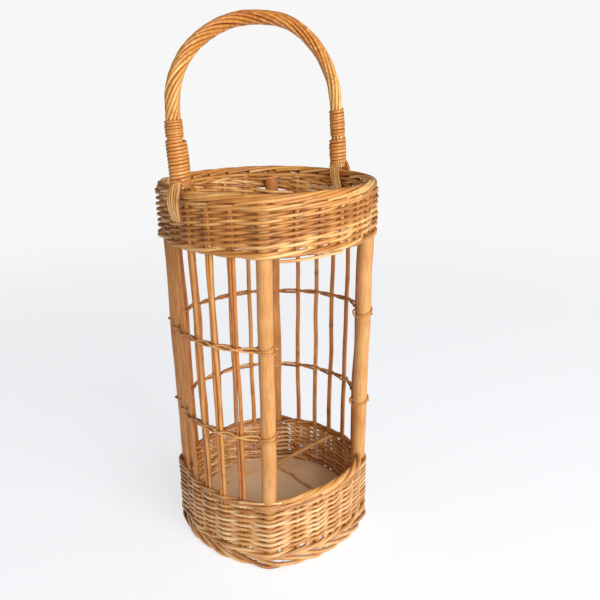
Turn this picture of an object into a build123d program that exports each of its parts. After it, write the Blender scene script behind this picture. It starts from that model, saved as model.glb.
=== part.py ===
from build123d import *

import os
from math import cos, radians, sin, sqrt, tan

# Wicker umbrella stand: two woven willow bands held apart by four thick posts and
# thinner stakes, with one side left open and a roped carrying bow over the top.
# +Z is up, X runs along the span of the bow, and the open side faces -Y.
# The origin is on the floor, under the middle of the basket. Millimetres.

os.makedirs("parts", exist_ok=True)

# ---- Driving dimensions ------------------------------------------------------------

# Heights of the layers, from the floor up
FOOT_TOP = 13.0
BASE_WALE_TOP = 24.0
BOARD_TOP = 30.0
LOW_WEAVE_TOP = 89.0
LOW_BAND_TOP = 97.0
SILL_TOP = 105.0
LOW_RING_Z = 191.0
HIGH_RING_Z = 311.0
HIGH_BAND_BOTTOM = 428.0
HIGH_WALE_TOP = 436.0
WEAVE_TOP = 491.0
RIM_TOP = 503.5
RING_HEIGHT = 8.0
END_GAP = 0.4  # between a leaning rod's end and the flat face under or over it

# Plans are rounded squares: (half width across the flats, distance to the corner)
LOW_WARP_PLAN = (119.7, 124.2)  # line of the rods at the top of the lower band
HIGH_WARP_PLAN = (129.7, 132.0)  # line of the rods at the bottom of the upper band
LOW_BAND_PLAN = (126.5, 136.5)
HIGH_BAND_PLAN = (136.5, 146.0)
FOOT_PLAN = (127.0, 135.0)
RIM_PLAN = (137.7, 146.5)
RIM_MOUTH_PLAN = (124.5, 131.0)
WALE_PROUD = 1.2
FOOT_ROUND = 4.0
RIM_ROUND = 5.0

# Insides of the woven walls are round
LOW_BAND_BORE = 113.5
HIGH_BAND_BORE = 120.5
BASE_WALE_BORE = 104.0
FOOT_BORE = 108.0
BOARD_RADIUS = 112.4

# Rods
POST_DIAMETER = 19.5
STAKE_DIAMETER = 6.5
PAIR_DIAMETER = 4.8  # each of the two thinner rods at one place on the left side
PAIR_OFFSET = 2.5
STRAND_DIAMETER = 4.0
POST_ANGLES = {"front_left": 225, "front_right": 315, "back_right": 45, "back_left": 135}
STAKE_STEPS = (17, 31, 45, 59, 73)  # degrees round from the post before them

# Handle bow, as (x, z) in the plane y = 0, from the left foot to the right foot
BOW_DIAMETER = 18.0
CORE_DIAMETER = 8.0
CORE_CLEARANCE = 0.3
BOW_ROUTE = [
    (-139.5, 506.0),
    (-146.0, 600.0),
    (-139.0, 634.0),
    (-113.0, 668.0),
    (-62.0, 695.0),
    (-5.0, 702.5),
    (48.0, 697.0),
    (94.0, 670.0),
    (121.0, 636.0),
    (133.5, 602.0),
    (139.5, 506.0),
]
LEGS = {"left": (BOW_ROUTE[0], BOW_ROUTE[1]), "right": (BOW_ROUTE[-1], BOW_ROUTE[-2])}
LEFT_CORE_END = (-135.0, 493.5)
RIGHT_CORE_END = (135.0, 493.5)
ROPING_START = 8.0  # how far above the knee of each leg the roping starts
BINDING_CLEARANCE = 0.15
THIN_BINDING = 1.7  # wall of the thin cane wrapping
WRAP_LONG, WRAP_SHORT = 13.2, 11.4  # half axes of the thick wrapping
WRAP_SHIFT = 1.5  # the thick wrapping bulges towards the inside
BINDINGS = {"left": (512.0, 563.0, 584.0), "right": (512.0, 546.0, 586.0)}

# Flat ribbons of cane that tie the bow's feet to the band, as (distance from axis, z)
RIBBON_DIAMETER = 3.4
RIBBON_PITCH = 3.5
RIBBON_STRANDS = 5
OUTER_RIBBON = [(147.5, 510.5), (150.5, 490.0), (138.6, 464.0)]
INNER_RIBBON = [(131.5, 509.0), (118.0, 502.0), (117.6, 468.0)]

# Loose canes inside the base, as start, end and diameter
LONG_CANE = ((109.2, -13.4, 92.0), (62.4, 60.2, 33.6), 5.2)
SHORT_CANE = ((59.4, 53.7, 31.9), (48.4, -48.7, 31.9), 3.4)
THIN_CANE = ((-28.0, 74.4, 31.4), (37.1, 68.2, 31.4), 2.4)


# ---- Geometry helpers --------------------------------------------------------------


def corner_radius(plan, grow=0.0):
    """Corner radius of a rounded square from its flat and corner distances."""
    flat, corner = plan
    return (flat * sqrt(2) - corner) / (sqrt(2) - 1) + grow


def plan_radius(plan, angle):
    """Distance from the axis to a rounded square's outline at an angle."""
    flat = plan[0]
    radius = corner_radius(plan)
    middle = flat - radius
    turn = radians(abs((angle + 45) % 90 - 45))
    if tan(turn) * flat <= middle:
        return flat / cos(turn)
    along = middle * (cos(turn) + sin(turn))
    across = middle * (cos(turn) - sin(turn))
    return along + sqrt(radius**2 - across**2)


def warp_point(angle, height, sideways=0.0):
    """Point on a leaning upright at an angle round the basket."""
    low = plan_radius(LOW_WARP_PLAN, angle)
    high = plan_radius(HIGH_WARP_PLAN, angle)
    share = (height - LOW_BAND_TOP) / (HIGH_BAND_BOTTOM - LOW_BAND_TOP)
    radius = low + (high - low) * share
    c, s = cos(radians(angle)), sin(radians(angle))
    return Vector(radius * c - sideways * s, radius * s + sideways * c, height)


def side_angles(middle):
    """Angles of the five stakes on the side whose middle is at an angle."""
    return [middle - 45 + step for step in STAKE_STEPS]


def straight_rod(start, end, diameter):
    with BuildPart() as rod:
        with BuildSketch(Plane(origin=start, z_dir=end - start)):
            Circle(diameter / 2)
        extrude(amount=(end - start).length)
    return rod.part


def upright(angle, diameter, bottom, top, sideways=0.0):
    start = warp_point(angle, bottom + END_GAP, sideways)
    end = warp_point(angle, top - END_GAP, sideways)
    return straight_rod(start, end, diameter)


def bend_radii(points):
    """The largest arc radii that suit a route of straight runs."""
    radii = []
    for before, corner, after in zip(points, points[1:], points[2:]):
        run_in, run_out = corner - before, after - corner
        half_turn = radians(run_in.get_angle(run_out)) / 2
        radii.append(0.45 * min(run_in.length, run_out.length) / tan(half_turn))
    return radii


def bent_rod(points, diameter, bore=0.0):
    with BuildPart() as rod:
        with BuildLine() as path:
            FilletPolyline(*points, radius=bend_radii(points))
        route = path.wires()[0]
        with BuildSketch(Plane(origin=route @ 0, z_dir=route % 0)):
            Circle(diameter / 2)
            if bore:
                Circle(bore / 2, mode=Mode.SUBTRACT)
        sweep(path=route)
    return rod.part


def ring_wall(plan, bore, bottom, top, proud=0.0):
    """A woven wall as one solid ring: rounded square outside, round inside."""
    width = 2 * (plan[0] + proud)
    with BuildPart() as wall:
        with BuildSketch(Plane.XY.offset(bottom)):
            RectangleRounded(width, width, corner_radius(plan, proud))
            Circle(bore, mode=Mode.SUBTRACT)
        extrude(amount=top - bottom)
    return wall.part


def open_side_sector(bottom, top):
    """The space between the two front posts, out past the basket."""
    reach = 2 * HIGH_BAND_PLAN[1]
    with BuildPart() as sector:
        with BuildSketch(Plane.XY.offset(bottom)):
            with BuildLine():
                Polyline((0, 0), (-reach, -reach), (reach, -reach), close=True)
            make_face()
        extrude(amount=top - bottom)
    return sector.part


# ---- Posts and stakes --------------------------------------------------------------

posts = {
    name: upright(angle, POST_DIAMETER, FOOT_TOP, WEAVE_TOP)
    for name, angle in POST_ANGLES.items()
}
for name, solid in posts.items():
    with BuildPart() as post:
        add(solid)
    post.part.label = f"post_{name}"
    export_step(post.part, f"parts/post_{name}.step")

back_rods = [upright(a, STAKE_DIAMETER, FOOT_TOP, WEAVE_TOP) for a in side_angles(90)]
with BuildPart() as back_stakes:
    add(back_rods)
back_stakes.part.label = "back_stakes"
export_step(back_stakes.part, "parts/back_stakes.step")

right_rods = [upright(a, STAKE_DIAMETER, FOOT_TOP, WEAVE_TOP) for a in side_angles(0)]
with BuildPart() as right_stakes:
    add(right_rods)
right_stakes.part.label = "right_stakes"
export_step(right_stakes.part, "parts/right_stakes.step")

# The left side has two thinner rods side by side at each place.
left_rods = [
    upright(a, PAIR_DIAMETER, FOOT_TOP, WEAVE_TOP, -PAIR_OFFSET) for a in side_angles(180)
]
with BuildPart() as left_stakes:
    add(left_rods)
left_stakes.part.label = "left_stakes"
export_step(left_stakes.part, "parts/left_stakes.step")

left_partner_rods = [
    upright(a, PAIR_DIAMETER, FOOT_TOP, WEAVE_TOP, PAIR_OFFSET) for a in side_angles(180)
]
with BuildPart() as left_bye_stakes:
    add(left_partner_rods)
left_bye_stakes.part.label = "left_bye_stakes"
export_step(left_bye_stakes.part, "parts/left_bye_stakes.step")

# On the open side the stakes are only inside the two bands.
front_low_rods = [
    upright(a, STAKE_DIAMETER, FOOT_TOP, LOW_BAND_TOP) for a in side_angles(270)
]
with BuildPart() as front_lower_stakes:
    add(front_low_rods)
front_lower_stakes.part.label = "front_lower_stakes"
export_step(front_lower_stakes.part, "parts/front_lower_stakes.step")

front_high_rods = [
    upright(a, STAKE_DIAMETER, HIGH_BAND_BOTTOM, WEAVE_TOP) for a in side_angles(270)
]
with BuildPart() as front_upper_stakes:
    add(front_high_rods)
front_upper_stakes.part.label = "front_upper_stakes"
export_step(front_upper_stakes.part, "parts/front_upper_stakes.step")

full_height_rods = [*posts.values(), *back_rods, *right_rods, *left_rods]
full_height_rods += left_partner_rods
low_rods = [*full_height_rods, *front_low_rods]
high_rods = [*full_height_rods, *front_high_rods]

# ---- Base and lower band -----------------------------------------------------------

with BuildPart() as foot_border:
    add(ring_wall(FOOT_PLAN, FOOT_BORE, 0, FOOT_TOP))
    fillet(foot_border.edges().group_by(Axis.Z)[0], FOOT_ROUND)
foot_border.part.label = "foot_border"
export_step(foot_border.part, "parts/foot_border.step")

with BuildPart() as base_wale:
    add(ring_wall(LOW_BAND_PLAN, BASE_WALE_BORE, FOOT_TOP, BASE_WALE_TOP, WALE_PROUD))
    add(low_rods, mode=Mode.SUBTRACT)
base_wale.part.label = "base_wale"
export_step(base_wale.part, "parts/base_wale.step")

with BuildPart() as base_board:
    with BuildSketch(Plane.XY.offset(BASE_WALE_TOP)):
        Circle(BOARD_RADIUS)
    extrude(amount=BOARD_TOP - BASE_WALE_TOP)
base_board.part.label = "base_board"
export_step(base_board.part, "parts/base_board.step")

with BuildPart() as lower_weave:
    add(ring_wall(LOW_BAND_PLAN, LOW_BAND_BORE, BASE_WALE_TOP, LOW_WEAVE_TOP))
    add(low_rods, mode=Mode.SUBTRACT)
lower_weave.part.label = "lower_weave"
export_step(lower_weave.part, "parts/lower_weave.step")

with BuildPart() as lower_top_wale:
    add(ring_wall(LOW_BAND_PLAN, LOW_BAND_BORE, LOW_WEAVE_TOP, LOW_BAND_TOP, WALE_PROUD))
    add(low_rods, mode=Mode.SUBTRACT)
lower_top_wale.part.label = "lower_top_wale"
export_step(lower_top_wale.part, "parts/lower_top_wale.step")

# The sill is the extra border along the open side, between the two front posts.
with BuildPart() as front_sill:
    add(ring_wall(LOW_BAND_PLAN, LOW_BAND_BORE, LOW_BAND_TOP, SILL_TOP))
    add(open_side_sector(LOW_BAND_TOP, SILL_TOP), mode=Mode.INTERSECT)
    add(posts.values(), mode=Mode.SUBTRACT)
front_sill.part.label = "front_sill"
export_step(front_sill.part, "parts/front_sill.step")

# ---- Twined rings round the cage ---------------------------------------------------


def warp_plan(height):
    share = (height - LOW_BAND_TOP) / (HIGH_BAND_BOTTOM - LOW_BAND_TOP)
    return tuple(
        low + (high - low) * share for low, high in zip(LOW_WARP_PLAN, HIGH_WARP_PLAN)
    )


def collar_places(height, angles):
    places = [warp_point(angle, height) for angle in angles]
    return [(place.X, place.Y) for place in places]


def twined_ring(middle):
    """A strand inside and a strand outside the uprights, as one open ring."""
    bottom = middle - RING_HEIGHT / 2
    plan = warp_plan(middle)
    reach = STAKE_DIAMETER / 2 + STRAND_DIAMETER
    collar = POST_DIAMETER / 2 + STRAND_DIAMETER
    with BuildPart() as ring:
        with BuildSketch(Plane.XY.offset(bottom)):
            for grow, mode in ((reach, Mode.ADD), (-reach, Mode.SUBTRACT)):
                width = 2 * (plan[0] + grow)
                RectangleRounded(width, width, corner_radius(plan, grow), mode=mode)
            with BuildLine():
                far = 2 * plan[0]
                Polyline((0, 0), (-far, -far), (far, -far), close=True)
            make_face(mode=Mode.SUBTRACT)
            with Locations(*collar_places(middle, (45, 135))):
                Circle(collar)
            with Locations(*collar_places(middle, (225, 315))):
                Circle(collar + CORE_CLEARANCE, mode=Mode.SUBTRACT)
        extrude(amount=RING_HEIGHT)
        add(full_height_rods, mode=Mode.SUBTRACT)
    return ring.part


def ring_wraps(middle):
    """The turns of cane that end a ring round the two front posts."""
    bottom = middle - RING_HEIGHT / 2
    with BuildPart() as wraps:
        with BuildSketch(Plane.XY.offset(bottom)):
            with Locations(*collar_places(middle, (225, 315))):
                Circle(POST_DIAMETER / 2 + STRAND_DIAMETER)
        extrude(amount=RING_HEIGHT)
        add(posts.values(), mode=Mode.SUBTRACT)
    return wraps.part


with BuildPart() as lower_ring:
    add(twined_ring(LOW_RING_Z))
lower_ring.part.label = "lower_ring"
export_step(lower_ring.part, "parts/lower_ring.step")

with BuildPart() as lower_ring_wraps:
    add(ring_wraps(LOW_RING_Z))
lower_ring_wraps.part.label = "lower_ring_wraps"
export_step(lower_ring_wraps.part, "parts/lower_ring_wraps.step")

with BuildPart() as upper_ring:
    add(twined_ring(HIGH_RING_Z))
upper_ring.part.label = "upper_ring"
export_step(upper_ring.part, "parts/upper_ring.step")

with BuildPart() as upper_ring_wraps:
    add(ring_wraps(HIGH_RING_Z))
upper_ring_wraps.part.label = "upper_ring_wraps"
export_step(upper_ring_wraps.part, "parts/upper_ring_wraps.step")

# ---- Upper band --------------------------------------------------------------------

high_wale = (HIGH_BAND_BOTTOM, HIGH_WALE_TOP)
with BuildPart() as upper_wale:
    add(ring_wall(HIGH_BAND_PLAN, HIGH_BAND_BORE, *high_wale, WALE_PROUD))
    add(high_rods, mode=Mode.SUBTRACT)
upper_wale.part.label = "upper_wale"
export_step(upper_wale.part, "parts/upper_wale.step")

with BuildPart() as upper_weave:
    add(ring_wall(HIGH_BAND_PLAN, HIGH_BAND_BORE, HIGH_WALE_TOP, WEAVE_TOP))
    add(high_rods, mode=Mode.SUBTRACT)
upper_weave.part.label = "upper_weave"
export_step(upper_weave.part, "parts/upper_weave.step")

# ---- Handle bow --------------------------------------------------------------------


def in_bow_plane(point):
    return Vector(point[0], 0, point[1])


def point_up_leg(knee, top, rise):
    """Point on a straight leg, a given height above its knee."""
    share = rise / (top[1] - knee[1])
    return (knee[0] + (top[0] - knee[0]) * share, knee[1] + rise)


left_roping_end = point_up_leg(*LEGS["left"], ROPING_START)
right_roping_end = point_up_leg(*LEGS["right"], ROPING_START)
core_route = [LEFT_CORE_END, *BOW_ROUTE, RIGHT_CORE_END]
roping_route = [left_roping_end, *BOW_ROUTE[1:-1], right_roping_end]

with BuildPart() as handle_core:
    add(bent_rod([in_bow_plane(p) for p in core_route], CORE_DIAMETER))
handle_core.part.label = "handle_core"
export_step(handle_core.part, "parts/handle_core.step")

with BuildPart() as handle_roping:
    bore = CORE_DIAMETER + CORE_CLEARANCE
    add(bent_rod([in_bow_plane(p) for p in roping_route], BOW_DIAMETER, bore))
handle_roping.part.label = "handle_roping"
export_step(handle_roping.part, "parts/handle_roping.step")

with BuildPart() as rim_border:
    with BuildSketch(Plane.XY.offset(WEAVE_TOP)):
        RectangleRounded(2 * RIM_PLAN[0], 2 * RIM_PLAN[0], corner_radius(RIM_PLAN))
        mouth = 2 * RIM_MOUTH_PLAN[0]
        RectangleRounded(mouth, mouth, corner_radius(RIM_MOUTH_PLAN), mode=Mode.SUBTRACT)
    extrude(amount=RIM_TOP - WEAVE_TOP)
    fillet(rim_border.edges().group_by(Axis.Z)[-1], RIM_ROUND)
    add(handle_core.part, mode=Mode.SUBTRACT)
rim_border.part.label = "rim_border"
export_step(rim_border.part, "parts/rim_border.step")


def leg_plane(side, height):
    """Plane across one leg of the bow at a height, facing up the leg."""
    knee, top = LEGS[side]
    start = in_bow_plane(point_up_leg(knee, top, height - knee[1]))
    up_leg = in_bow_plane(top) - in_bow_plane(knee)
    return Plane(origin=start, x_dir=(0, 1, 0), z_dir=up_leg)


bow_hole = BOW_DIAMETER / 2 + BINDING_CLEARANCE
for side, (low, middle, high) in BINDINGS.items():
    inward = -WRAP_SHIFT if side == "right" else WRAP_SHIFT
    with BuildPart() as lower_binding:
        with BuildSketch(leg_plane(side, low).move(Location((inward, 0, 0)))):
            Ellipse(WRAP_SHORT, WRAP_LONG)
        extrude(amount=middle - low)
        with BuildSketch(leg_plane(side, low)):
            Circle(bow_hole)
        extrude(amount=middle - low, mode=Mode.SUBTRACT)
    lower_binding.part.label = f"{side}_lower_binding"
    export_step(lower_binding.part, f"parts/{side}_lower_binding.step")

    with BuildPart() as upper_binding:
        with BuildSketch(leg_plane(side, middle + END_GAP)):
            Circle(bow_hole + THIN_BINDING)
            Circle(bow_hole, mode=Mode.SUBTRACT)
        extrude(amount=high - middle)
    upper_binding.part.label = f"{side}_upper_binding"
    export_step(upper_binding.part, f"parts/{side}_upper_binding.step")

# ---- Ribbons that tie the bow to the band ------------------------------------------


def ribbon(route, direction):
    """Five strands side by side, each one bent over the rim."""
    middle = (RIBBON_STRANDS - 1) / 2
    strands = []
    for index in range(RIBBON_STRANDS):
        y = (index - middle) * RIBBON_PITCH
        points = [Vector(direction * reach, y, z) for reach, z in route]
        strands.append(bent_rod(points, RIBBON_DIAMETER))
    return strands


for side, direction in (("left", -1), ("right", 1)):
    for place, route in (("outer", OUTER_RIBBON), ("inner", INNER_RIBBON)):
        strands = ribbon(route, direction)
        with BuildPart() as tie:
            add(strands)
        tie.part.label = f"{side}_{place}_ribbon"
        export_step(tie.part, f"parts/{side}_{place}_ribbon.step")

# ---- Loose canes in the base -------------------------------------------------------

canes = {"long": LONG_CANE, "short": SHORT_CANE, "thin": THIN_CANE}
for name, (start, end, diameter) in canes.items():
    solid = straight_rod(Vector(*start), Vector(*end), diameter)
    with BuildPart() as cane:
        add(solid)
    cane.part.label = f"base_cane_{name}"
    export_step(cane.part, f"parts/base_cane_{name}.step")
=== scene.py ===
import math
import random

import bpy
import numpy as np
from mathutils import Matrix, Vector


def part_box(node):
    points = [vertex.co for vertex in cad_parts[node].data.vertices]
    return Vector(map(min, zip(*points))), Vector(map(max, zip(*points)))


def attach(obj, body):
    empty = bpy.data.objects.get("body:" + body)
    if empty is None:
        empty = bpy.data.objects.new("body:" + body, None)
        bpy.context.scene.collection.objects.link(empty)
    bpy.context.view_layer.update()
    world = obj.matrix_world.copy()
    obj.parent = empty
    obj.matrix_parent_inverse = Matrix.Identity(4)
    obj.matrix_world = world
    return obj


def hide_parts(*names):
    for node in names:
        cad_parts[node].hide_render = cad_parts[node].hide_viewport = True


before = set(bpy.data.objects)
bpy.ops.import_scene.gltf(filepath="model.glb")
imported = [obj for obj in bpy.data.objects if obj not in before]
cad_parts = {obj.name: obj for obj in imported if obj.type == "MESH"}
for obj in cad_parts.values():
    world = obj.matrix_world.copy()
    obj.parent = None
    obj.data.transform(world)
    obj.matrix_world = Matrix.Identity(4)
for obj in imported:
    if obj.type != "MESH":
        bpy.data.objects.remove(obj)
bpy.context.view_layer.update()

# Wicker umbrella stand. Metres, +Z up, origin on the floor under the basket.
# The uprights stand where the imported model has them. Every rod, strand and cane is a
# swept mesh, and those of one sub-part are gathered into one object.

MM = 0.001

# ---- Sizes and places, from the frame ----------------------------------------------


def low(node):
    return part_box(node)[0]


def high(node):
    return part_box(node)[1]


POST_RADIUS = 9.75 * MM
STAKE_RADIUS = 3.25 * MM
PAIR_RADIUS = 2.4 * MM

FOOT_TOP = high("foot_border").z
BASE_WALE_TOP = high("base_wale").z
LOW_WEAVE_TOP = high("lower_weave").z
LOW_BAND_TOP = high("lower_top_wale").z
SILL_TOP = high("front_sill").z
HIGH_BAND_BOTTOM = low("upper_wale").z
HIGH_WALE_TOP = high("upper_wale").z
WEAVE_TOP = high("upper_weave").z
RIM_TOP = high("rim_border").z
UPRIGHT_FOOT = low("post_back_right").z
UPRIGHT_HEAD = high("post_back_right").z
POST_HEAD = WEAVE_TOP - 1.5 * MM  # hidden under the border's strands

# Distance from the axis to the uprights, at the corners and in the middle of a side
CORNER_FOOT = (low("post_back_right").x + POST_RADIUS) * math.sqrt(2)
CORNER_HEAD = (high("post_back_right").x - POST_RADIUS) * math.sqrt(2)
FLAT_LOW_Z = high("front_lower_stakes").z
FLAT_LOW = -low("front_lower_stakes").y - STAKE_RADIUS
FLAT_HIGH_Z = high("front_upper_stakes").z
FLAT_HIGH = -low("front_upper_stakes").y - STAKE_RADIUS

# Uprights in order round the basket: angle in degrees, half thickness through the wall
POST_ANGLES = (45, 135, 225, 315)
STAKE_STEPS = (17, 31, 45, 59, 73)
SIDE_GAPS = len(STAKE_STEPS) + 1  # gaps between uprights from one post to the next
UPRIGHTS = []
for post_angle in POST_ANGLES:
    UPRIGHTS.append((post_angle, POST_RADIUS))
    stake_half = PAIR_RADIUS if post_angle == 135 else STAKE_RADIUS
    UPRIGHTS += [(post_angle + step, stake_half) for step in STAKE_STEPS]
COUNT = len(UPRIGHTS)
BACK_SIDE, LEFT_SIDE, OPEN_SIDE = range(1, 6), range(7, 12), range(13, 18)
RIGHT_SIDE = range(19, 24)
FRONT_LEFT_POST, FRONT_RIGHT_POST = 12, 18
BACK_POSTS = (0, 6)


def half_thickness(number):
    return UPRIGHTS[number % COUNT][1]


def is_post(number):
    return half_thickness(number) == POST_RADIUS


def upright_angle(place):
    """Angle in degrees at a place counted in uprights, which may lie between two."""
    whole = math.floor(place)
    first = UPRIGHTS[whole % COUNT][0] + 360 * (whole // COUNT)
    after = UPRIGHTS[(whole + 1) % COUNT][0] + 360 * ((whole + 1) // COUNT)
    return first + (after - first) * (place - whole)


def wall_radius(angle, z):
    """Distance from the axis to the line of uprights: a rounded square that flares."""
    rise = (z - FLAT_LOW_Z) / (FLAT_HIGH_Z - FLAT_LOW_Z)
    flat = FLAT_LOW + (FLAT_HIGH - FLAT_LOW) * rise
    rise = (z - UPRIGHT_FOOT) / (UPRIGHT_HEAD - UPRIGHT_FOOT)
    corner = CORNER_FOOT + (CORNER_HEAD - CORNER_FOOT) * rise
    rounding = (flat * math.sqrt(2) - corner) / (math.sqrt(2) - 1)
    middle = flat - rounding
    turn = math.radians(abs((angle + 45) % 90 - 45))
    if math.tan(turn) * flat <= middle:
        return flat / math.cos(turn)
    along = middle * (math.cos(turn) + math.sin(turn))
    across = middle * (math.cos(turn) - math.sin(turn))
    return along + math.sqrt(rounding**2 - across**2)


def wall_point(place, z, out=0.0, sideways=0.0):
    """Point at a height and a place counted in uprights, measured out from their line
    and round from it."""
    angle = upright_angle(place)
    radius = wall_radius(angle, z) + out
    c, s = math.cos(math.radians(angle)), math.sin(math.radians(angle))
    return np.array((radius * c - sideways * s, radius * s + sideways * c, z))


# ---- Swept rods --------------------------------------------------------------------


KNOT_SWELL = 0.16  # how much a knot thickens a rod, as a share of its radius
END_RATIO, END_REACH = 0.75, 0.3  # size and distance of the ring that rounds a rod's end


class Rods:
    """Swept rods gathered into one mesh. Each point keeps its place on its own rod for
    the grain, the rod's tone, and how near it is to a knot."""

    def __init__(self, seed):
        self.random = random.Random(seed)
        self.count = 0
        self.points, self.faces, self.grain, self.tone, self.knot = [], [], [], [], []

    def add(self, path, radius, sides=12, width=None, facing=None, tone=None, knots=None):
        """A rod along a path, with one radius or one for each point. For a flattened
        cane, width is its half width and facing the direction that its flat looks in.
        tone runs from 0, dark, to 1, light, and knots is the usual distance between
        knots."""
        path = np.asarray(path, float)
        steps = np.linalg.norm(np.diff(path, axis=0), axis=1)
        length = np.concatenate(([0], np.cumsum(steps)))
        radius = np.broadcast_to(np.asarray(radius, float), (len(path),)).copy()
        width = radius if width is None else np.broadcast_to(float(width), (len(path),))
        tangent = np.gradient(path, axis=0)
        tangent /= np.linalg.norm(tangent, axis=1)[:, None]
        normal = carried_normals(tangent) if facing is None else np.array(facing, float)
        normal -= tangent * np.sum(normal * tangent, axis=1)[:, None]
        normal /= np.linalg.norm(normal, axis=1)[:, None]
        side = np.cross(tangent, normal)

        turns = np.linspace(0, 2 * math.pi, sides, endpoint=False)
        c, s = np.cos(turns), np.sin(turns)
        swell = self.knot_heights(length, turns, radius.mean(), knots)
        plump = 1 + KNOT_SWELL * swell
        rings = path[:, None] + plump[:, :, None] * (
            normal[:, None] * (radius[:, None] * c)[:, :, None]
            + side[:, None] * (width[:, None] * s)[:, :, None]
        )

        # A smaller ring just past each end rounds the cut.
        head = path[0] + (rings[0] - path[0]) * END_RATIO - tangent[0] * radius[0] * END_REACH
        tail = path[-1] + (rings[-1] - path[-1]) * END_RATIO + tangent[-1] * radius[-1] * END_REACH
        rings = np.concatenate((head[None], rings, tail[None]))
        swell = np.concatenate((swell[:1], swell, swell[-1:]))
        length = np.concatenate((length[:1], length, length[-1:]))

        grain = np.empty(rings.shape)
        grain[:, :, 0], grain[:, :, 1], grain[:, :, 2] = c, s, length[:, None]
        shade = self.random.random() if tone is None else tone
        base = self.count + np.arange(len(rings) - 1)[:, None] * sides + np.arange(sides)
        after = base - np.arange(sides) + (np.arange(sides) + 1) % sides
        quads = np.stack((base, after, after + sides, base + sides), axis=2)
        self.faces += quads.reshape(-1, 4).tolist()
        last = self.count + (len(rings) - 1) * sides
        self.faces.append([self.count + j for j in reversed(range(sides))])
        self.faces.append([last + j for j in range(sides)])
        self.points.append(rings.reshape(-1, 3))
        self.grain.append(grain.reshape(-1, 3))
        shade = np.broadcast_to(np.asarray(shade, float), (len(path),))
        shade = np.concatenate((shade[:1], shade, shade[-1:]))
        self.tone.append(np.repeat(shade, sides))
        self.knot.append(swell.ravel())
        self.count += len(rings) * sides

    def knot_heights(self, length, turns, radius, spacing):
        """From 0 to 1 at a knot, which is on one side of the rod."""
        swell = np.zeros((len(length), len(turns)))
        if spacing is None:
            return swell
        place = self.random.uniform(0.2, 1.0) * spacing
        while place < length[-1]:
            facing = self.random.uniform(0, 2 * math.pi)
            reach = np.exp(-(((length - place) / (radius * 0.9)) ** 2))
            around = 0.35 + 0.65 * (0.5 + 0.5 * np.cos(turns - facing)) ** 2
            swell = np.maximum(swell, reach[:, None] * around * self.random.uniform(0.5, 1))
            place += self.random.uniform(0.6, 1.5) * spacing
        return swell

    def build(self, name, nodes, material):
        mesh = bpy.data.meshes.new(name)
        mesh.from_pydata(np.concatenate(self.points).tolist(), [], self.faces)
        grain = mesh.attributes.new("grain", "FLOAT_VECTOR", "POINT")
        grain.data.foreach_set("vector", np.concatenate(self.grain).ravel())
        for label, values in (("tone", self.tone), ("knot", self.knot)):
            attribute = mesh.attributes.new(label, "FLOAT", "POINT")
            attribute.data.foreach_set("value", np.concatenate(values))
        mesh.shade_smooth()
        mesh.materials.append(material)
        piece = bpy.data.objects.new(name, mesh)
        bpy.context.scene.collection.objects.link(piece)
        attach(piece, "root")
        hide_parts(*nodes)
        return piece


def carried_normals(tangent):
    """Normals that turn with the path and never twist about it."""
    normals = np.empty_like(tangent)
    across = (0, 0, 1) if abs(tangent[0][2]) < 0.9 else (1, 0, 0)
    normals[0] = np.cross(tangent[0], across)
    normals[0] /= np.linalg.norm(normals[0])
    for i in range(1, len(tangent)):
        carried = normals[i - 1] - tangent[i] * np.dot(normals[i - 1], tangent[i])
        normals[i] = carried / np.linalg.norm(carried)
    return normals


def spaced(path, step):
    """The same path with points at equal steps along it."""
    path = np.asarray(path, float)
    runs = np.linalg.norm(np.diff(path, axis=0), axis=1)
    along = np.concatenate(([0], np.cumsum(runs)))
    wanted = np.linspace(0, along[-1], max(4, round(along[-1] / step) + 1))
    return np.stack([np.interp(wanted, along, path[:, i]) for i in range(3)], axis=1)


def smooth_route(points, step=3 * MM):
    """A smooth curve that touches the middle of each run between a route's points."""
    points = [np.asarray(p, float) for p in points]
    middles = [(a + b) / 2 for a, b in zip(points, points[1:])]
    dense = [points[0]]
    for start, corner, end in zip(middles, points[1:-1], middles[1:]):
        for t in np.linspace(0, 1, 16, endpoint=False):
            dense.append((1 - t) ** 2 * start + 2 * t * (1 - t) * corner + t**2 * end)
    return spaced(dense + [middles[-1], points[-1]], step)


def slow_waves(choose, length, size, wave=0.12):
    """Three slow random waves along a length, one for each axis."""
    total = np.zeros((len(length), 3))
    for share in (1, 0.6, 0.35):
        for axis in range(3):
            turn = choose.uniform(0, 2 * math.pi)
            reach = wave * (share + 0.15) * choose.uniform(0.8, 1.3)
            total[:, axis] += share * size * np.sin(2 * math.pi * length / reach + turn)
    return total


def along(path):
    steps = np.linalg.norm(np.diff(path, axis=0), axis=1)
    return np.concatenate(([0], np.cumsum(steps)))


# ---- Materials ---------------------------------------------------------------------


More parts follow.
